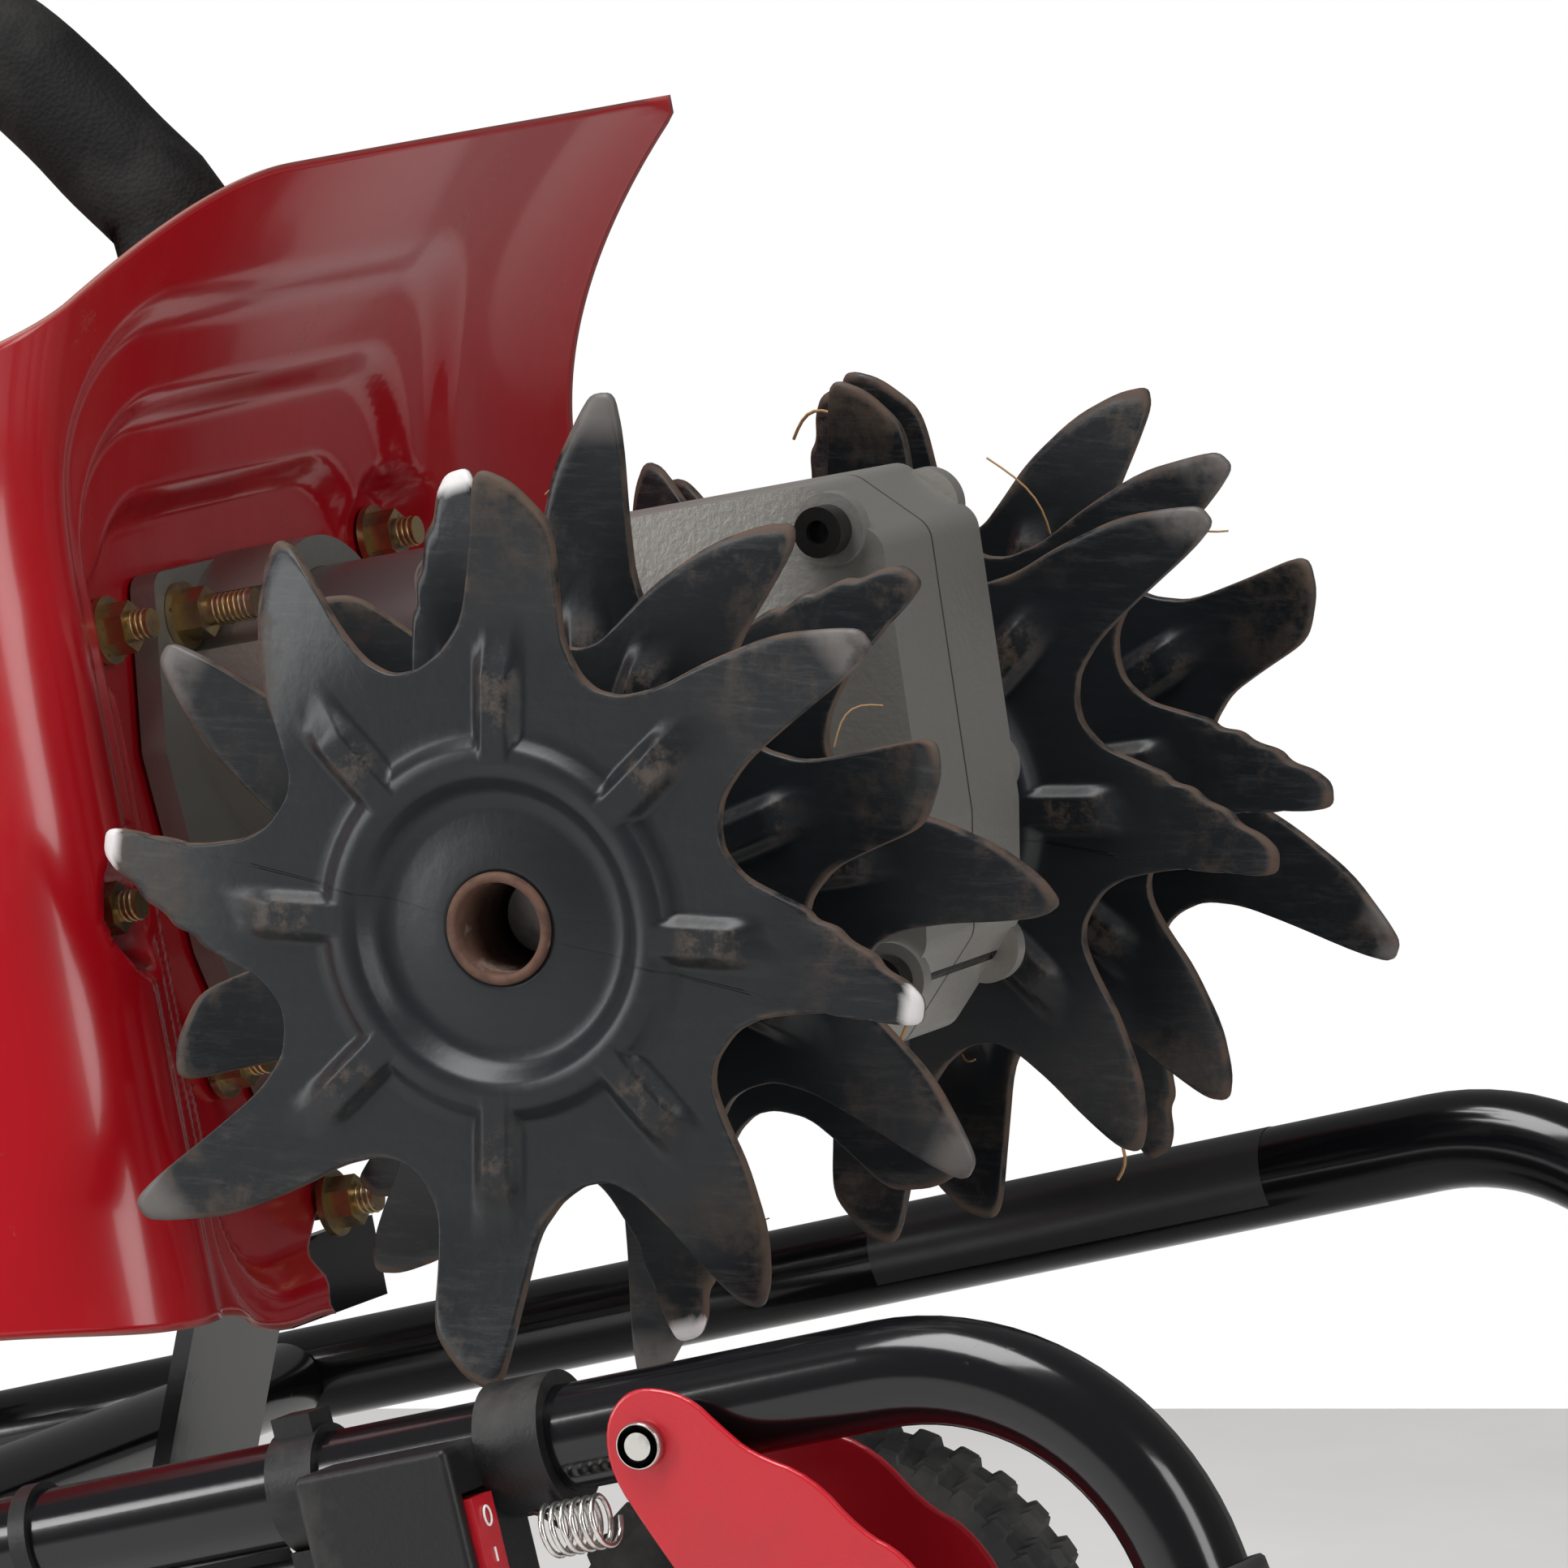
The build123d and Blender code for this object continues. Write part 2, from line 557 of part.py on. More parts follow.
def main():
    os.makedirs("parts", exist_ok=True)
    placed = {}
    for name, shape in build().items():
        if name.startswith(HANDLEBAR_NODES):
            shape = on_handlebar(shape)
        placed[name] = place(shape)
    for name, shape in placed.items():
        export_step(shape, os.path.join("parts", name + ".step"))
    whole = Compound(children=list(placed.values())).bounding_box()
    print(len(placed), "nodes", whole.min, whole.max)


main()
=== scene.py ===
import bpy
import json
import math
import random
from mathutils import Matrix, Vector


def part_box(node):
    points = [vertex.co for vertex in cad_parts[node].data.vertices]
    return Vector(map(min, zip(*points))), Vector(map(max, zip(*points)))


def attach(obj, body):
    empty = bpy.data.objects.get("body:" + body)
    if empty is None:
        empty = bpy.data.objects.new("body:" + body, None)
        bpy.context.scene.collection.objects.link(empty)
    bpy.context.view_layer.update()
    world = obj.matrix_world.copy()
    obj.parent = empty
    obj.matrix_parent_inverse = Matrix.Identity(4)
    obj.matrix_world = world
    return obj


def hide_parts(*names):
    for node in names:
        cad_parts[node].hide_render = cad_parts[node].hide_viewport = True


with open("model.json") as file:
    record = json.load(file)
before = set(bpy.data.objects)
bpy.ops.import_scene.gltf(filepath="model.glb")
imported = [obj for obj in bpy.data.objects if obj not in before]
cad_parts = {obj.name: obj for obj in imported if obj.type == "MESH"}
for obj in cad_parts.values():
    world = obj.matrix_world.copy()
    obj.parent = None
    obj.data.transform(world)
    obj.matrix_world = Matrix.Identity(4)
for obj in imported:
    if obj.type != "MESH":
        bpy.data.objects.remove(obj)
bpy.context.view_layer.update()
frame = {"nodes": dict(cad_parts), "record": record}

random.seed(7)
MM = 0.001
TILT = math.radians(12)
ALONG = Vector((math.cos(TILT), 0, math.sin(TILT)))       # along the boom, engine to tines
FRONT = Vector((-math.sin(TILT), 0, math.cos(TILT)))      # to the machine's front
LEFT = Vector((0, 1, 0))

axle_low, axle_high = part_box("tine_axle")
AXLE = (axle_low + axle_high) / 2
TINE_THICK = 3.2
TUBE_Y, TUBE_Z, TUBE_R = 158.0, -120.0, 11.1
SHIELD_X = -119.0
PIVOT_X = -330.0
RISE = math.radians(2.7)                                   # handlebar above the boom
BAR_ALONG = ALONG * math.cos(RISE) + FRONT * math.sin(RISE)
BAR_FRONT = FRONT * math.cos(RISE) - ALONG * math.sin(RISE)


def at(x, y, z):
    """Machine place in millimetres, from the middle of the tine axle, to the frame."""
    return AXLE + (ALONG * x + LEFT * y + FRONT * z) * MM


def at_bar(x, y, z):
    """The same for the handlebar, which rises about the fold pivot."""
    return at(PIVOT_X, y, TUBE_Z) + (BAR_ALONG * (x - PIVOT_X) + BAR_FRONT * (z - TUBE_Z)) * MM


# ---- materials -----------------------------------------------------------------------------
class Look:
    """A Principled material that is put together from small named steps."""

    def __init__(self, name, color, rough, metal=0.0, coat=0.0, spec=0.5):
        self.mat = bpy.data.materials.new(name)
        self.mat.use_nodes = True
        self.tree = self.mat.node_tree
        self.nodes = self.tree.nodes
        self.shader = self.nodes["Principled BSDF"]
        self.shader.inputs["Metallic"].default_value = metal
        self.shader.inputs["Coat Weight"].default_value = coat
        self.shader.inputs["Coat Roughness"].default_value = 0.08
        self.shader.inputs["Specular IOR Level"].default_value = spec
        self.coords = self.nodes.new("ShaderNodeTexCoord").outputs["Object"]
        self.color = self.rgb(color)
        self.rough = self.number(rough)
        self.bump = None

    def link(self, a, b):
        self.tree.links.new(a, b)

    def rgb(self, c):
        n = self.nodes.new("ShaderNodeRGB")
        n.outputs[0].default_value = (*c, 1)
        return n.outputs[0]

    def number(self, v):
        n = self.nodes.new("ShaderNodeValue")
        n.outputs[0].default_value = v
        return n.outputs[0]

    def noise(self, scale, detail=4.0, rough=0.6, stretch=(1, 1, 1)):
        m = self.nodes.new("ShaderNodeMapping")
        m.inputs["Scale"].default_value = stretch
        self.link(self.coords, m.inputs["Vector"])
        n = self.nodes.new("ShaderNodeTexNoise")
        n.inputs["Scale"].default_value = scale
        n.inputs["Detail"].default_value = detail
        n.inputs["Roughness"].default_value = rough
        self.link(m.outputs[0], n.inputs["Vector"])
        return n.outputs["Fac"]

    def cells(self, scale):
        n = self.nodes.new("ShaderNodeTexVoronoi")
        n.inputs["Scale"].default_value = scale
        self.link(self.coords, n.inputs["Vector"])
        return n.outputs["Distance"]

    def ramp(self, fac, low, high):
        n = self.nodes.new("ShaderNodeMapRange")
        n.inputs["From Min"].default_value = low
        n.inputs["From Max"].default_value = high
        self.link(fac, n.inputs["Value"])
        return n.outputs["Result"]

    def math(self, op, a, b):
        n = self.nodes.new("ShaderNodeMath")
        n.operation = op
        for socket, v in zip(n.inputs, (a, b)):
            if isinstance(v, (int, float)):
                socket.default_value = v
            else:
                self.link(v, socket)
        return n.outputs[0]

    def attribute(self, name):
        n = self.nodes.new("ShaderNodeAttribute")
        n.attribute_name = name
        return n.outputs["Fac"]

    def over(self, fac, color, rough=None):
        n = self.nodes.new("ShaderNodeMix")
        n.data_type = "RGBA"
        self.link(fac, n.inputs["Factor"])
        self.link(self.color, n.inputs["A"])
        n.inputs["B"].default_value = (*color, 1)
        self.color = n.outputs["Result"]
        if rough is not None:
            r = self.nodes.new("ShaderNodeMix")
            self.link(fac, r.inputs["Factor"])
            self.link(self.rough, r.inputs["A"])
            r.inputs["B"].default_value = rough
            self.rough = r.outputs["Result"]
        return self

    def relief(self, height, distance, strength=0.5):
        n = self.nodes.new("ShaderNodeBump")
        n.inputs["Strength"].default_value = strength
        n.inputs["Distance"].default_value = distance
        self.link(height, n.inputs["Height"])
        if self.bump:
            self.link(self.bump, n.inputs["Normal"])
        self.bump = n.outputs[0]
        return self

    def done(self):
        self.link(self.color, self.shader.inputs["Base Color"])
        self.link(self.rough, self.shader.inputs["Roughness"])
        if self.bump:
            self.link(self.bump, self.shader.inputs["Normal"])
        return self.mat


def dusty(look, color=(0.23, 0.15, 0.09), amount=0.62, scale=9):
    patches = look.ramp(look.noise(scale, 8, 0.7), amount, amount + 0.18)
    grains = look.ramp(look.noise(scale * 40, 3), 0.45, 0.6)
    return look.over(look.math("MULTIPLY", patches, grains), color, 0.85)


def red_enamel():
    look = Look("red_enamel_worn", (0.40, 0.003, 0.009), 0.22, coat=0.3, spec=0.35)
    look.over(look.ramp(look.noise(3, 5), 0.45, 0.75), (0.30, 0.008, 0.014), 0.28)
    film = look.ramp(look.noise(14, 9, 0.75, (1, 1, 0.35)), 0.5, 0.8)
    look.over(look.math("MULTIPLY", film, 0.22), (0.40, 0.10, 0.08), 0.5)
    dusty(look, (0.25, 0.13, 0.08), 0.64, 30)
    look.over(look.ramp(look.attribute("edge"), 0.6, 1.0), (0.32, 0.12, 0.10), 0.5)
    look.relief(look.noise(90, 2), 0.0004, 0.15)
    return look.done()


def tine_paint():
    look = Look("tine_black_worn", (0.008, 0.010, 0.012), 0.36, spec=0.36)
    scratches = look.ramp(look.noise(60, 6, 0.8, (1, 1, 7)), 0.5, 0.72)
    rim = look.ramp(look.attribute("edge"), 0.15, 0.9)
    worn = look.math("MULTIPLY", scratches, look.math("ADD", look.math("MULTIPLY", rim, 0.45), 0.05))
    look.over(worn, (0.085, 0.08, 0.078), 0.42)
    soil = look.math("MULTIPLY", look.ramp(look.noise(38, 9, 0.75), 0.5, 0.62), rim)
    look.over(look.math("MULTIPLY", soil, 0.6), (0.09, 0.062, 0.042), 0.85)
    lip = look.ramp(look.attribute("lip"), 0.3, 1.0)
    rust = look.math("MULTIPLY", lip, look.ramp(look.noise(120, 4), 0.35, 0.55))
    look.over(rust, (0.085, 0.055, 0.04), 0.8)
    tip = look.ramp(look.attribute("tip"), 0.35, 0.9)
    tip = look.math("MULTIPLY", tip, look.ramp(look.noise(70, 5), 0.3, 0.5))
    look.over(tip, (0.11, 0.10, 0.095), 0.45)
    look.over(look.ramp(look.attribute("bare"), 0.2, 0.8), (0.62, 0.60, 0.60), 0.35)
    rib_dirt = look.math("MULTIPLY", look.attribute("rib"), look.ramp(look.noise(150, 6, 0.8), 0.48, 0.62))
    look.over(look.math("MULTIPLY", rib_dirt, 0.4), (0.12, 0.085, 0.06), 0.85)
    look.relief(look.noise(220, 4), 0.0003, 0.3)
    return look.done()


def rusty_steel():
    look = Look("hub_rust", (0.11, 0.055, 0.036), 0.7, metal=0.3)
    look.over(look.ramp(look.noise(120, 6), 0.45, 0.6), (0.07, 0.035, 0.025), 0.85)
    look.over(look.ramp(look.noise(60, 4), 0.6, 0.7), (0.35, 0.25, 0.2), 0.4)
    look.relief(look.noise(400, 5), 0.0004, 0.6)
    return look.done()


def cast_aluminium():
    look = Look("cast_aluminium_dusty", (0.33, 0.32, 0.295), 0.42, metal=0.75)
    look.over(look.ramp(look.noise(12, 6), 0.4, 0.7), (0.28, 0.27, 0.25), 0.55)
    dusty(look, (0.20, 0.15, 0.10), 0.6, 22)
    look.relief(look.noise(500, 4), 0.0003, 0.45)
    return look.done()


def boom_paint():
    look = Look("boom_paint_grey", (0.12, 0.105, 0.105), 0.3, metal=0.55)
    dusty(look, (0.2, 0.13, 0.1), 0.6, 20)
    return look.done()


def yellow_zinc():
    look = Look("yellow_zinc", (0.50, 0.38, 0.19), 0.3, metal=0.95)
    look.over(look.ramp(look.noise(180, 4), 0.45, 0.65), (0.33, 0.26, 0.2), 0.4)
    look.over(look.ramp(look.noise(260, 6), 0.62, 0.7), (0.10, 0.07, 0.05), 0.8)
    return look.done()


def black_gloss():
    look = Look("black_gloss_paint", (0.004, 0.004, 0.005), 0.16, coat=0.25, spec=0.4)
    look.over(look.ramp(look.noise(60, 8, 0.8, (0.3, 1, 1)), 0.64, 0.72), (0.07, 0.065, 0.06), 0.5)
    look.relief(look.noise(300, 2), 0.0002, 0.08)
    return look.done()


def moulded_black():
    look = Look("moulded_black", (0.009, 0.009, 0.010), 0.42, spec=0.35)
    look.over(look.ramp(look.noise(40, 6), 0.55, 0.75), (0.04, 0.038, 0.035), 0.6)
    look.relief(look.noise(900, 2), 0.0002, 0.35)
    return look.done()


def soft_foam():
    look = Look("closed_cell_foam", (0.006, 0.006, 0.006), 0.72, spec=0.18)
    look.over(look.ramp(look.noise(25, 5), 0.5, 0.8), (0.035, 0.034, 0.032), 0.85)
    look.relief(look.cells(900), 0.0004, 0.5)
    look.relief(look.noise(40, 3), 0.001, 0.25)
    return look.done()


def red_moulded():
    look = Look("red_moulded", (0.47, 0.010, 0.020), 0.33, coat=0.15)
    look.over(look.ramp(look.noise(30, 6), 0.5, 0.8), (0.36, 0.014, 0.022), 0.45)
    look.relief(look.noise(700, 2), 0.0002, 0.2)
    return look.done()


def tyre_rubber():
    look = Look("tyre_rubber_dusty", (0.022, 0.023, 0.024), 0.6)
    look.over(look.ramp(look.noise(45, 7), 0.48, 0.7), (0.075, 0.072, 0.066), 0.8)
    look.relief(look.noise(600, 3), 0.0003, 0.3)
    return look.done()


def plain_metal(name, color, rough, scale=160):
    look = Look(name, color, rough, metal=0.95)
    dark = tuple(c * 0.55 for c in color)
    look.over(look.ramp(look.noise(scale, 5), 0.5, 0.72), dark, rough + 0.15)
    look.relief(look.noise(scale * 3, 2), 0.0002, 0.2)
    return look.done()


def plain_plastic(name, color, rough, spec=0.5):
    look = Look(name, color, rough, spec=spec)
    dark = tuple(c * 0.7 for c in color)
    look.over(look.ramp(look.noise(35, 5), 0.5, 0.75), dark, rough + 0.12)
    look.relief(look.noise(500, 2), 0.0002, 0.2)
    return look.done()


LOOKS = {
    "red_enamel": red_enamel(), "tine_black": tine_paint(), "rust": rusty_steel(),
    "cast_aluminium": cast_aluminium(), "boom_grey": boom_paint(), "zinc_yellow": yellow_zinc(),
    "black_tube": black_gloss(), "black_plastic": moulded_black(), "foam": soft_foam(),
    "red_plastic": red_moulded(), "tyre_rubber": tyre_rubber(),
    "gasket": plain_plastic("gasket_paper", (0.03, 0.028, 0.026), 0.8),
    "dark_screw": plain_metal("black_oxide", (0.045, 0.043, 0.042), 0.4),
    "steel": plain_metal("machined_steel", (0.45, 0.45, 0.45), 0.3),
    "rubber": plain_plastic("seal_rubber", (0.018, 0.018, 0.018), 0.65),
    "engine_alloy": plain_metal("engine_alloy", (0.45, 0.45, 0.44), 0.45),
    "muffler_steel": plain_metal("muffler_steel", (0.25, 0.21, 0.18), 0.45),
    "spark_boot": plain_plastic("spark_boot_rubber", (0.02, 0.02, 0.02), 0.6),
    "tank_white": plain_plastic("tank_milky", (0.72, 0.70, 0.62), 0.35),
    "cable": plain_plastic("cable_sheath", (0.012, 0.012, 0.012), 0.4),
    "bright_steel": plain_metal("bright_steel", (0.66, 0.65, 0.62), 0.22),
    "mark": plain_plastic("white_mark", (0.8, 0.8, 0.78), 0.5),
    "straw": plain_plastic("dry_grass", (0.42, 0.24, 0.10), 0.8),
    "label": plain_plastic("label_film", (0.030, 0.030, 0.031), 0.28),
}
slot_of = {s["node"]: s["material_slot"] for s in frame["record"]["subparts"]}
for node_name, node in frame["nodes"].items():
    node.data.materials.clear()
    node.data.materials.append(LOOKS[slot_of[node_name]])


# ---- mesh helpers --------------------------------------------------------------------------
def piece(name, verts, faces, slot, body, replaces=(), look=None, smooth=True, values=None):
    mesh = bpy.data.meshes.new(name)
    mesh.from_pydata([tuple(v) for v in verts], [], faces)
    mesh.validate()
    for key, data in (values or {}).items():
        mesh.attributes.new(key, "FLOAT", "POINT").data.foreach_set("value", data)
    mesh.materials.append(LOOKS[look or slot])
    for poly in mesh.polygons:
        poly.use_smooth = smooth
    obj = bpy.data.objects.new(name, mesh)
    bpy.context.scene.collection.objects.link(obj)
    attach(obj, body)
    if replaces:
        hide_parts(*replaces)
    return obj


def bevel(obj, width, segments=2, angle=35):
    mod = obj.modifiers.new("bevel", "BEVEL")
    mod.width = width
    mod.segments = segments
    mod.limit_method = "ANGLE"
    mod.angle_limit = math.radians(angle)
    mod.harden_normals = False
    return obj


def grid_faces(rows, cols, wrap=False, start=0):
    faces = []
    last = cols if wrap else cols - 1
    for i in range(rows - 1):
        for j in range(last):
            k = (j + 1) % cols
            faces.append((start + i * cols + j, start + i * cols + k,
                          start + (i + 1) * cols + k, start + (i + 1) * cols + j))
    return faces


def step(x, low, high):
    t = min(1.0, max(0.0, (x - low) / (high - low)))
    return t * t * (3 - 2 * t)


def spun(name, outline, centre, axis, side, slot, body, replaces=(), look=None, count=72, dent=None):
    """Surface of revolution: outline is (radius, along) in mm, closed."""
    other = axis.cross(side)
    verts = []
    for r, a in outline:
        for k in range(count):
            t = 2 * math.pi * k / count
            rr = r + (dent(r, a, t) if dent else 0)
            verts.append(centre + (axis * a + (side * math.cos(t) + other * math.sin(t)) * rr) * MM)
    faces = grid_faces(len(outline), count, wrap=True)
    last = (len(outline) - 1) * count
    for k in range(count):
        ahead = (k + 1) % count
        faces.append((last + k, last + ahead, ahead, k))
    return piece(name, verts, faces, slot, body, replaces, look)


def tube(name, points, radius, slot, body, replaces=(), look=None, res=5, cyclic=False):
    """A round bar along given points, as a mesh."""
    curve = bpy.data.curves.new(name, "CURVE")
    curve.dimensions = "3D"
    curve.bevel_depth = radius * MM
    curve.bevel_resolution = res
    curve.use_fill_caps = True
    spline = curve.splines.new("POLY")
    spline.points.add(len(points) - 1)
    for p, q in zip(spline.points, points):
        p.co = (*q, 1)
    holder = bpy.data.objects.new(name + "_curve", curve)
    bpy.context.scene.collection.objects.link(holder)
    mesh = bpy.data.meshes.new_from_object(holder.evaluated_get(bpy.context.evaluated_depsgraph_get()))
    bpy.data.objects.remove(holder)
    mesh.name = name
    mesh.materials.clear()
    mesh.materials.append(LOOKS[look or slot])
    for poly in mesh.polygons:
        poly.use_smooth = True
    obj = bpy.data.objects.new(name, mesh)
    bpy.context.scene.collection.objects.link(obj)
    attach(obj, body)
    if replaces:
        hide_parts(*replaces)
    return obj


# ---- tines -----------------------------------------------------------------------------------
# One half of a star: radius in mm and angle in degrees, clockwise; the other half repeats it.
HALF_STAR = [
    (59, 103), (65, 97.5), (80, 94), (94, 92), (96.5, 90.5), (94, 86.5), (88, 82), (84, 80.6), (72, 79),
    (63, 77), (57, 72), (55.2, 67), (57, 61), (64, 55), (75, 51), (90, 46), (101, 41.2), (105.5, 39.2),
    (105.5, 36.6), (98, 35.8), (82, 35.3), (68, 34.2), (59, 31), (55, 25.5), (54, 20.5), (57, 14),
    (64, 9.5), (70, 6.5), (71.5, 4.6), (76, 3.4), (78.5, 1.2), (84, -0.6), (86, -2.6), (91, -4.0),
    (94.5, -6), (94.6, -9.2), (89, -9.9), (86, -9.6), (80, -10.4), (76, -10.1), (69, -11.6), (61, -14.6),
    (56.5, -19), (54.7, -27), (57, -32), (63, -36), (72, -40), (84, -46), (92, -51), (95.6, -54.4),
    (92, -56.2), (84, -57), (73, -57.8), (63, -60), (57.5, -64), (56.3, -70), (57.5, -74),
]
BENDS = [(75, 9.0), (37, 1.5), (-8, -5.0), (-53, -11.0)]    # tooth angle, bend of its tip in mm
RING_IN, RING_OUT = 30.0, 38.5
RIB_END, RIB_HALF = 58.0, 4.6


def star_outline():
    points = [(r, a - turn) for turn in (0, 180) for r, a in HALF_STAR]
    flat = [(r * math.cos(math.radians(a)), r * math.sin(math.radians(a))) for r, a in points]
    for _ in range(2):
        cut = []
        for p, q in zip(flat, flat[1:] + flat[:1]):
            cut.append((p[0] * 0.8 + q[0] * 0.2, p[1] * 0.8 + q[1] * 0.2))
            cut.append((p[0] * 0.2 + q[0] * 0.8, p[1] * 0.2 + q[1] * 0.8))
        flat = cut
    return flat


STAR = star_outline()


def tooth_bend(angle, r):
    """How far a tooth leans out of its plate, in mm."""
    best = min((abs((angle - a + 90) % 180 - 90), bend) for a, bend in BENDS)
    return best[1] * max(0.0, (r - 60) / 42) ** 1.5


def pressed(r, angle):
    """Height of the pressed ring, ribs and dished centre, in mm."""
    ring = step(r, RING_IN, RING_IN + 2.5) * (1 - step(r, RING_OUT - 1.5, RING_OUT + 2.5))
    ray = abs((angle + 22.5) % 45 - 22.5)
    across = abs(r * math.sin(math.radians(ray)))
    rib = (1 - step(across, RIB_HALF - 2.2, RIB_HALF + 1.6)) * (1 - step(r, RIB_END - 4, RIB_END + 0.5))
    rib *= step(r, RING_IN, RING_IN + 2.5)
    dish = -2.2 * (1 - step(r, RING_IN - 3, RING_IN + 0.5)) + 1.8 * (1 - step(r, 12, 27))
    return 2.8 * max(ring, rib) + dish, rib * step(r, 40, 44)


ROOT_R = 52.5                       # the flat rows end here and the rows that follow the teeth begin
INNER_ROWS = [11.8, 13, 16, 20, 24, 27, 28.5, 30, 31.5, 33, 35, 37, 38.5, 40, 41.5, 43.5, 46, 48.5, 51,
              ROOT_R]
OUTER_ROWS = [0.1, 0.22, 0.36, 0.5, 0.64, 0.76, 0.86, 0.93, 0.975, 1.0]


def tine(number, station, turn):
    random.seed(number)
    outward = -1.0                      # the pressing faces the machine's right on every tine
    columns = []
    for p, q in zip(STAR, STAR[1:] + STAR[:1]):
        parts = max(1, round(math.dist(p, q) / 0.9))
        for k in range(parts):
            t = k / parts
            columns.append((p[0] + (q[0] - p[0]) * t, p[1] + (q[1] - p[1]) * t))
    verts, edge, lip, tip, rib_value, bare = [], [], [], [], [], []
    for face in (1, -1):
        for kind, rows in (("in", INNER_ROWS), ("out", OUTER_ROWS)):
            for row in rows:
                for px, py in columns:
                    reach = math.hypot(px, py)
                    angle = math.degrees(math.atan2(py, px))
                    ray = math.radians(angle)
                    r = row if kind == "in" else ROOT_R + (reach - ROOT_R) * row
                    high, rib = pressed(r, angle)
                    high += tooth_bend(angle, r)
                    half = TINE_THICK / 2
                    if kind == "out" and row > 0.97:
                        half *= 0.72 if row < 1 else 0.42
                    a = ray + math.radians(turn)
                    y_place = station + outward * (high + face * half)
                    rx, rz = r * math.cos(a), r * math.sin(a)
                    verts.append(AXLE + Vector((rx, y_place, rz)) * MM)
                    near = step(r, 58, 80) if kind == "out" else 0.0
                    edge.append(max(near * 0.55, step(row, 0.6, 1.0)) if kind == "out" else 0.04)
                    lip.append(1.0 if kind == "out" and row > 0.96 else 0.0)
                    tip.append(step(r, 88, 103))
                    lean = (angle + 10 + 90) % 180 - 90
                    bare.append(step(r, 89, 93) if abs(lean) < 6 and face > 0 and number <= 2 else 0.0)
                    rib_value.append(rib)
    cols = len(columns)
    rows_total = len(INNER_ROWS) + len(OUTER_ROWS)
    one = rows_total * cols
    front = grid_faces(rows_total, cols, wrap=True)
    back = [tuple(reversed([i + one for i in f])) for f in front]
    rim = []
    for row_start in ((rows_total - 1) * cols, 0):
        for j in range(cols):
            k = (j + 1) % cols
            quad = (row_start + j, row_start + k, one + row_start + k, one + row_start + j)
            rim.append(quad if row_start else tuple(reversed(quad)))
    values = {"edge": edge, "lip": lip, "tip": tip, "rib": rib_value, "bare": bare}
    body = piece(f"tine_{number}_plate", verts, front + back + rim, "tine_black", "tine_rotor",
                 (f"tine_{number}",), values=values)
    inward = 1 if station < 0 else -1
    mouth = station - inward * 2.0
    hub = [(9.7, 0), (10.1, -0.5), (11.5, -0.5), (11.9, 0.2), (11.9, 29), (9.6, 29)]
    spun(f"tine_{number}_hub", hub, AXLE + LEFT * mouth * MM, LEFT * inward, Vector((1, 0, 0)),
         "tine_black", "tine_rotor", look="rust")
    return body


STATIONS = [-130.0, -98.0, -66.0, 66.0, 98.0, 130.0]
TURNS = [0.0, -66.0, 55.0, 3.4, 10.0, -57.0]
for tine_number, (station_y, tine_turn) in enumerate(zip(STATIONS, TURNS), start=1):
    tine(tine_number, station_y, tine_turn)


# ---- shield ----------------------------------------------------------------------------------
def box_distance(y, z, low, high, corner):
    cy, cz = (low[0] + high[0]) / 2, (low[1] + high[1]) / 2
    dy = abs(y - cy) - (high[0] - low[0]) / 2 + corner
    dz = abs(z - cz) - (high[1] - low[1]) / 2 + corner
    return math.hypot(max(dy, 0), max(dz, 0)) + min(max(dy, dz), 0) - corner


SHIELD_NUTS = [(-54, 73), (82, 79), (-84, 15), (-40, -25), (-1, -62)]
FLANGE_NUT = (-29, 72.5)
SHIELD_LEFT = -148                  # edge of the sheet on the machine's right
SHIELD_SHEET = 1.6
RIM_WEAR = 3.0                      # width of the worn paint along the edges


def shield_depth(y, z):
    """How far forward of the flange seat the pressed sheet stands, in mm."""
    pocket = box_distance(y, z, (-56, -70), (66, 94), 20)
    middle = box_distance(y, z, (-68, -82), (82, 114), 26)
    outer = box_distance(y, z, (-80, -100), (94, 134), 30)
    depth = 6 * step(pocket, 0, 8) + 5 * step(middle, 0, 9) + 4 * step(outer, 0, 10)
    for ny, nz in SHIELD_NUTS:
        depth *= step(math.hypot(y - ny, z - nz), 9.5, 17)
    depth += 0.0072 * max(0.0, z - 85) ** 2 * (0.45 + 0.55 * step(y, -150, 60))
    depth += 0.004 * max(0.0, y - 105) ** 2
    depth -= 0.030 * max(0.0, -y - 92) ** 2
    return min(depth, 64)


def shield():
    cols, rows = 132, 120
    verts, edge = [], []
    for face in (0, 1):
        for i in range(rows):
            t = i / (rows - 1)
            for j in range(cols):
                s = j / (cols - 1)
                low_edge = -67 - 19 * s + 1.5 * math.sin(14 * s)
                right_edge = -20 + 170 * step(t, 0.0, 0.5)
                y = SHIELD_LEFT + (right_edge - SHIELD_LEFT) * s
                crown = 165 - 35 * (1 - step(s, 0.0, 0.42))
                z = low_edge + (crown - low_edge) * t
                depth = shield_depth(y, z)
                verts.append(at(SHIELD_X + depth - SHIELD_SHEET * face, y, z))
                rim = min(s, 1 - s) * 330, min(t, 1 - t) * 280
                edge.append(1 - min(1.0, min(rim) / RIM_WEAR))
    one = cols * rows
    front = grid_faces(rows, cols)
    back = [tuple(reversed([k + one for k in f])) for f in front]
    border = list(range(cols))
    border += [i * cols + cols - 1 for i in range(1, rows)]
    border += [(rows - 1) * cols + j for j in range(cols - 2, -1, -1)]
    border += [i * cols for i in range(rows - 2, 0, -1)]
    rim = [(b, a, a + one, b + one) for a, b in zip(border, border[1:] + border[:1])]
    return piece("shield_pressing", verts, front + back + rim, "red_enamel", "frame", ("tine_shield",),
                 values={"edge": edge})


shield()


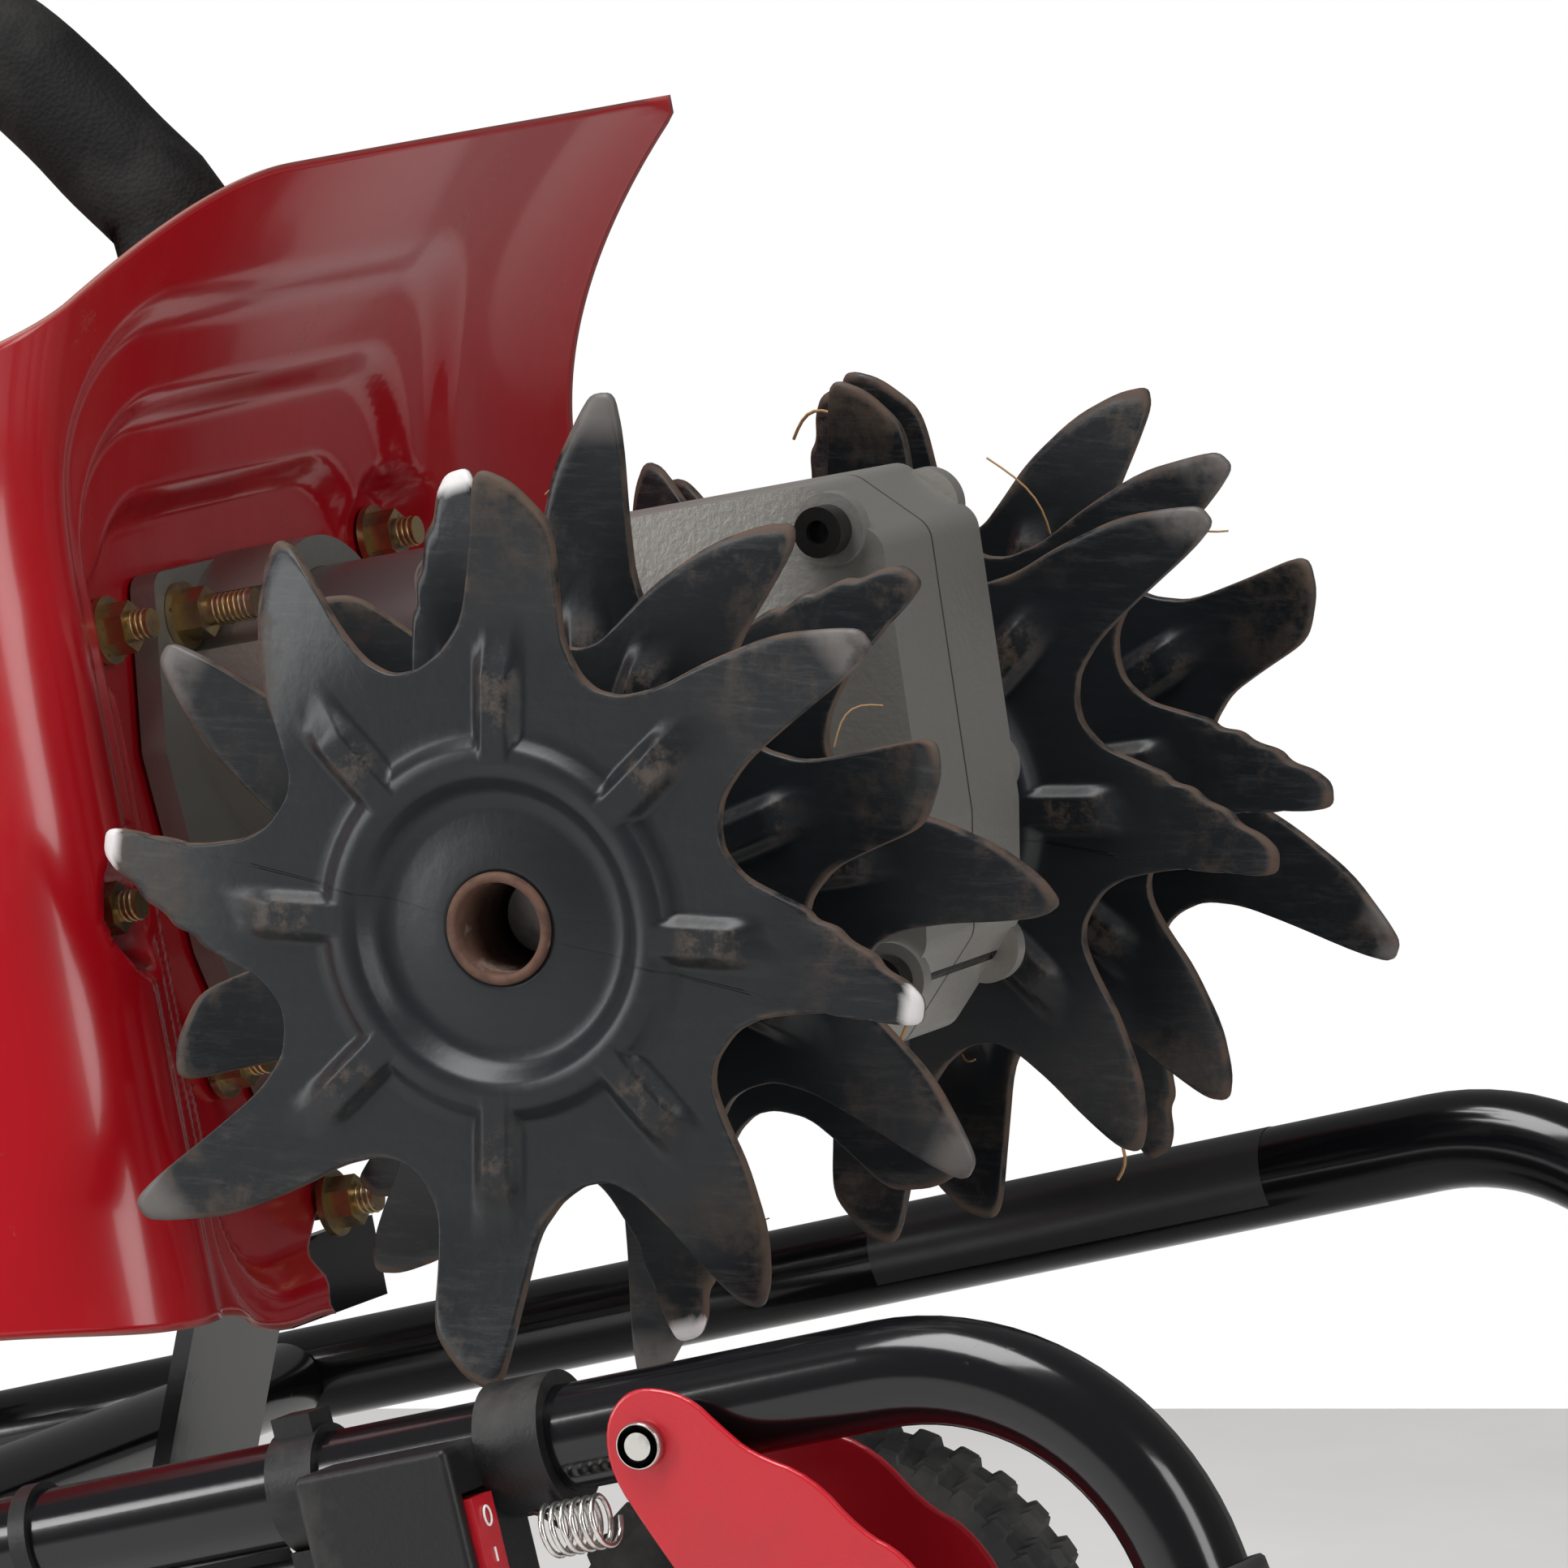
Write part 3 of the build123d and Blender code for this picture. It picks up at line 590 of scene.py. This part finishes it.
# ---- transport tyres -------------------------------------------------------------------------
LUG_HEIGHT = 2.0


def tyre(name):
    low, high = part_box(f"wheel_tyre_{name}")
    centre = (low + high) / 2
    profile = [(46, -11), (52, -13), (61, -13.6), (65, -12), (65.6, -9), (66, -4), (66, 4), (65.6, 9),
               (65, 12), (61, 13.6), (52, 13), (46, 11)]
    lugs = 40

    def tread(r, a, t):
        if r < 64:
            return 0.0
        wave = (t / (2 * math.pi) * lugs + (0.5 if a > 0 else 0.0) + a * 0.02) % 1.0
        return LUG_HEIGHT if 0.18 < wave < 0.72 and abs(a) > 1.5 else 0.0

    fine = []
    for (r0, a0), (r1, a1) in zip(profile, profile[1:]):
        for k in range(4):
            fine.append((r0 + (r1 - r0) * k / 4, a0 + (a1 - a0) * k / 4))
    fine.append(profile[-1])
    obj = spun(f"tyre_{name}", fine, centre, LEFT, Vector((1, 0, 0)), "tyre_rubber", f"{name}_wheel",
               (f"wheel_tyre_{name}",), count=400, dent=tread)
    for poly in obj.data.polygons:
        poly.use_smooth = False


tyre("right")
tyre("left")


# ---- foam and grips --------------------------------------------------------------------------
FOAM_Y, FOAM_R, FOAM_END_R = 40, 14.0, 12.8
FOAM_BEND = 24                      # length of each side of the bend


def foam_route():
    """Up from the shield, round the bend and back over the engine."""
    corners = [(-131, 146), (-131, 160), (-170, 212), (-300, 227.4)]
    start, elbow, middle, last = [Vector((x, FOAM_Y, z)) for x, z in corners]
    before = middle + (elbow - middle).normalized() * FOAM_BEND
    after = middle + (last - middle).normalized() * FOAM_BEND
    route = [start, elbow]
    route += [elbow.lerp(before, k / 10) for k in range(1, 10)]
    for k in range(13):
        t = k / 12
        route.append(before * (1 - t) ** 2 + middle * 2 * t * (1 - t) + after * t ** 2)
    route += [after.lerp(last, k / 20) for k in range(1, 21)]
    return route


def foam_cover():
    route = foam_route()
    count = 40
    verts = []
    for i, p in enumerate(route):
        ahead = route[min(i + 1, len(route) - 1)] - route[max(i - 1, 0)]
        ahead.normalize()
        up = ahead.cross(Vector((0, 1, 0)))
        for k in range(count):
            t = 2 * math.pi * k / count
            r = FOAM_R + 0.2 * math.sin(i * 0.9) * math.sin(3 * t)
            if i in (0, len(route) - 1):
                r = FOAM_END_R
            q = p + (up * math.cos(t) + Vector((0, 1, 0)) * math.sin(t)) * r
            verts.append(at(q.x, q.y, q.z))
    faces = grid_faces(len(route), count, wrap=True)
    faces += [tuple(range(count)), tuple(reversed([len(verts) - count + k for k in range(count)]))]
    obj = piece("carry_foam_sleeve", verts, faces, "foam", "frame", ("carry_foam",))


foam_cover()


def hand_grip(side, name):
    foot = Vector((147, side * TUBE_Y, -240))
    lean = Vector((18, 0, -120)).normalized()
    outline = [(11.2, 0), (13.8, 0), (14.4, 0.8), (14.4, 3.5), (13.2, 4.5)]
    for k in range(9):
        a = 8 + 6.5 * k
        outline += [(13.2, a), (14.1, a + 1), (14.1, a + 3.2), (13.2, a + 4.2)]
    outline += [(13.2, 66), (14.4, 67), (14.4, 70.5), (13.6, 71.8), (11.2, 72)]
    start = foot - lean * 68
    world_lean = (BAR_ALONG * lean.x + BAR_FRONT * lean.z)
    spun(f"grip_{name}_ribbed", outline, at_bar(start.x, start.y, start.z), world_lean, LEFT, "foam",
         "handlebar", (f"grip_{name}",), look="rubber")


hand_grip(-1, "right")
hand_grip(1, "left")


# ---- throttle lever --------------------------------------------------------------------------
LEVER = (31.0, -123.0)
LEVER_PROFILE = [(-8, 5), (-3, 10.5), (3, 11.5), (12, 8), (18, 0), (23, -6), (35, -13), (43, -26), (51, -32),
                 (57, -44), (56, -58), (48, -68), (34, -70), (20, -60), (8, -44), (0, -26), (-4, -17),
                 (-9, -5)]


def smooth_loop(points, rounds=2):
    for _ in range(rounds):
        cut = []
        for p, q in zip(points, points[1:] + points[:1]):
            cut.append((p[0] * 0.75 + q[0] * 0.25, p[1] * 0.75 + q[1] * 0.25))
            cut.append((p[0] * 0.25 + q[0] * 0.75, p[1] * 0.25 + q[1] * 0.75))
        points = cut
    return points


def lever():
    outline = smooth_loop(LEVER_PROFILE)
    n = len(outline)
    verts, faces = [], []
    for y in (-16.0, -14.2, 16.2, 18.0):
        for x, z in outline:
            verts.append(at_bar(LEVER[0] + x, -TUBE_Y + y, LEVER[1] + z))
    for low in (0, 2 * n):
        faces.append(tuple(range(low, low + n)))
        faces.append(tuple(reversed(range(low + n, low + 2 * n))))
        faces += [(low + k, low + n + k, low + n + (k + 1) % n, low + (k + 1) % n) for k in range(n)]
    run = [k for k, (x, z) in enumerate(outline) if z < -14 and z < -5 - 0.8 * (x + 9)]
    start = len(verts)
    for k in run:
        x, z = outline[k]
        length = math.hypot(x - 20, z + 20)
        ix, iz = x + (20 - x) / length * 2.2, z + (-20 - z) / length * 2.2
        for px, pz in ((x, z), (ix, iz)):
            for y in (-14.3, 16.3):
                verts.append(at_bar(LEVER[0] + px, -TUBE_Y + y, LEVER[1] + pz))
    for i in range(len(run) - 1):
        if run[i + 1] != run[i] + 1:
            continue
        a, b = start + 4 * i, start + 4 * (i + 1)
        faces += [(a, b, b + 1, a + 1), (a + 2, a + 3, b + 3, b + 2)]
        faces += [(a, a + 2, b + 2, b), (a + 1, b + 1, b + 3, a + 3)]
    obj = piece("throttle_lever_channel", verts, faces, "red_plastic", "lever", ("throttle_lever",),
                smooth=False)
    bevel(obj, 0.0009, 3, 50)


lever()


# ---- small details ---------------------------------------------------------------------------
def rivet_face():
    centre = at_bar(LEVER[0], -TUBE_Y - 19, LEVER[1])
    outline = [(0.05, 0.6), (2.6, 0.5), (2.9, 0.0), (4.5, 0.0), (4.9, 0.5), (4.9, 2.4), (0.05, 2.4)]
    spun("lever_rivet_head", outline, centre, LEFT, Vector((1, 0, 0)), "bright_steel", "handlebar")


rivet_face()


def coil_spring():
    turns, radius, length = 6, 5.3, 14.0
    points = []
    base = (LEVER[0] - 27, -TUBE_Y - 13, LEVER[1] - 14)
    for k in range(turns * 28 + 1):
        t = k / 28
        a = 2 * math.pi * t
        points.append(at_bar(base[0] + length * t / turns, base[1] + radius * math.cos(a),
                             base[2] + radius * math.sin(a)))
    lead = [at_bar(base[0] - 11, base[1] + 8, base[2] + 6), at_bar(base[0] - 4, base[1] + 7, base[2] + 3)]
    tube("spring_coil", lead + points, 0.62, "bright_steel", "handlebar", ("lever_spring",), res=3)


coil_spring()


def rocker_marks():
    centre = at_bar(-6.2, -TUBE_Y - 18.5, TUBE_Z - 15)
    ring_points = []
    for k in range(25):
        a = 2 * math.pi * k / 24
        ring_points.append(centre + BAR_ALONG * 0.1 * MM + LEFT * 1.5 * math.cos(a) * MM
                           + BAR_FRONT * (4.2 + 2.0 * math.sin(a)) * MM)
    tube("rocker_mark_off", ring_points, 0.28, "red_plastic", "rocker", look="mark", res=2)
    bar = [centre + BAR_FRONT * z * MM for z in (-2.4, -5.4)]
    tube("rocker_mark_on", bar, 0.28, "red_plastic", "rocker", look="mark", res=2)


rocker_marks()


THREAD_PITCH, THREAD_R = 1.3, 3.25


def stud_threads():
    for index, (y, z) in enumerate(SHIELD_NUTS + [FLANGE_NUT], start=1):
        first, last = (-103.0, -93.5) if (y, z) == FLANGE_NUT else (-110.5, -106.3)
        turns = (last - first) / THREAD_PITCH
        points = []
        for k in range(int(turns * 16)):
            a = 2 * math.pi * k / 16
            along = first + k / 16 * THREAD_PITCH
            points.append(at(along, y + THREAD_R * math.cos(a), z + THREAD_R * math.sin(a)))
        tube(f"stud_thread_{index}", points, 0.36, "zinc_yellow", "frame", res=1)


stud_threads()


def grass(count=16):
    """Dry stems caught on the tines."""
    for index in range(count):
        station = random.choice(STATIONS) + random.uniform(-4, 4)
        angle = random.uniform(0, 2 * math.pi)
        r = random.uniform(56, 92)
        p = AXLE + Vector((r * math.cos(angle), station, r * math.sin(angle))) * MM
        way = Vector((random.uniform(-1, 1), random.uniform(-0.5, 0.5), random.uniform(-1, 1))).normalized()
        side = way.cross(Vector((0.3, 1, 0.2))).normalized()
        length = random.uniform(9, 24)
        points = []
        for k in range(8):
            t = k / 7
            points.append(p + (way * length * (t - 0.5) + side * 4 * math.sin(3 * t)) * MM)
        tube(f"dry_stem_{index}", points, random.choice((0.18, 0.25, 0.4)), "tine_black", "tine_rotor",
             look="straw", res=1)


grass()


def label_band():
    """Plain dark film on the far handle tube, with no lettering."""
    cols, rows = 24, 16
    film_r = TUBE_R + 0.12
    verts = []
    for i in range(rows):
        x = -60 + 100 * i / (rows - 1)
        for j in range(cols):
            a = math.radians(150 + 190 * j / (cols - 1))
            verts.append(at_bar(x, TUBE_Y + film_r * math.cos(a), TUBE_Z - film_r * math.sin(a)))
    return piece("tube_label_film", verts, grid_faces(rows, cols), "black_tube", "handlebar", look="label")


label_band()


# ---- stage, light, camera --------------------------------------------------------------------
VIEW_TURN, VIEW_RISE, VIEW_REACH = math.radians(23.82), math.radians(7.72), 2.539
VIEW_WIDTH = 321.464                # seen across the picture at the target, in mm
VIEW_TARGET = AXLE + Vector((63.99, -130.0, 33.57)) * MM


def stage():
    """Pale floor that stops behind the machine, with plain white beyond."""
    away = Vector((-math.sin(VIEW_TURN), math.cos(VIEW_TURN), 0))
    across = Vector((math.cos(VIEW_TURN), math.sin(VIEW_TURN), 0))
    base = Vector((VIEW_TARGET.x, VIEW_TARGET.y, 0))
    corners = [base + away * a + across * b for a, b in ((-4, -5), (-4, 5), (0.98, 5), (0.98, -5))]
    mesh = bpy.data.meshes.new("floor")
    mesh.from_pydata([tuple(c) for c in corners], [], [(0, 1, 2, 3)])
    look = Look("pale_floor", (0.80, 0.785, 0.77), 0.7)
    look.over(look.ramp(look.noise(5, 8), 0.4, 0.75), (0.72, 0.705, 0.69), 0.75)
    mesh.materials.append(look.done())
    floor = bpy.data.objects.new("floor", mesh)
    bpy.context.scene.collection.objects.link(floor)
    world = bpy.data.worlds.new("studio")
    bpy.context.scene.world = world
    world.use_nodes = True
    # Plain white to every eye, and dimmer as a light, so black paint stays black.
    nodes, links = world.node_tree.nodes, world.node_tree.links
    room = nodes["Background"]
    room.inputs["Color"].default_value = (1, 1, 1, 1)
    room.inputs["Strength"].default_value = 0.18
    seen = nodes.new("ShaderNodeBackground")
    seen.inputs["Color"].default_value = (1, 1, 1, 1)
    mix = nodes.new("ShaderNodeMixShader")
    links.new(nodes.new("ShaderNodeLightPath").outputs["Is Camera Ray"], mix.inputs["Fac"])
    links.new(room.outputs[0], mix.inputs[1])
    links.new(seen.outputs[0], mix.inputs[2])
    links.new(mix.outputs[0], nodes["World Output"].inputs["Surface"])
    bpy.context.scene.view_settings.view_transform = "Standard"


def softbox(name, place, target, size, power):
    light = bpy.data.lights.new(name, "AREA")
    light.shape = "RECTANGLE"
    light.size, light.size_y = size
    light.energy = power
    lamp = bpy.data.objects.new(name, light)
    lamp.location = place
    lamp.rotation_euler = (target - Vector(place)).to_track_quat("-Z", "Y").to_euler()
    bpy.context.scene.collection.objects.link(lamp)


def lights():
    middle = AXLE.copy()
    softbox("key_top", middle + Vector((-0.4, -0.7, 1.8)), middle, (1.2, 1.2), 42)
    softbox("side_left", middle + Vector((-1.6, -1.5, 0.5)), middle, (0.5, 1.4), 22)
    softbox("side_right", middle + Vector((1.7, -0.9, 0.7)), middle, (0.6, 1.5), 16)


def camera():
    look_back = Vector((math.sin(VIEW_TURN) * math.cos(VIEW_RISE), -math.cos(VIEW_TURN) * math.cos(VIEW_RISE),
                        math.sin(VIEW_RISE)))
    data = bpy.data.cameras.new("view")
    data.sensor_width = 36
    data.lens = data.sensor_width * VIEW_REACH / (VIEW_WIDTH * MM)
    data.clip_end = 50
    eye = bpy.data.objects.new("view", data)
    eye.location = VIEW_TARGET + look_back * VIEW_REACH
    eye.rotation_euler = (-look_back).to_track_quat("-Z", "Y").to_euler()
    bpy.context.scene.collection.objects.link(eye)
    bpy.context.scene.camera = eye


stage()
lights()
camera()
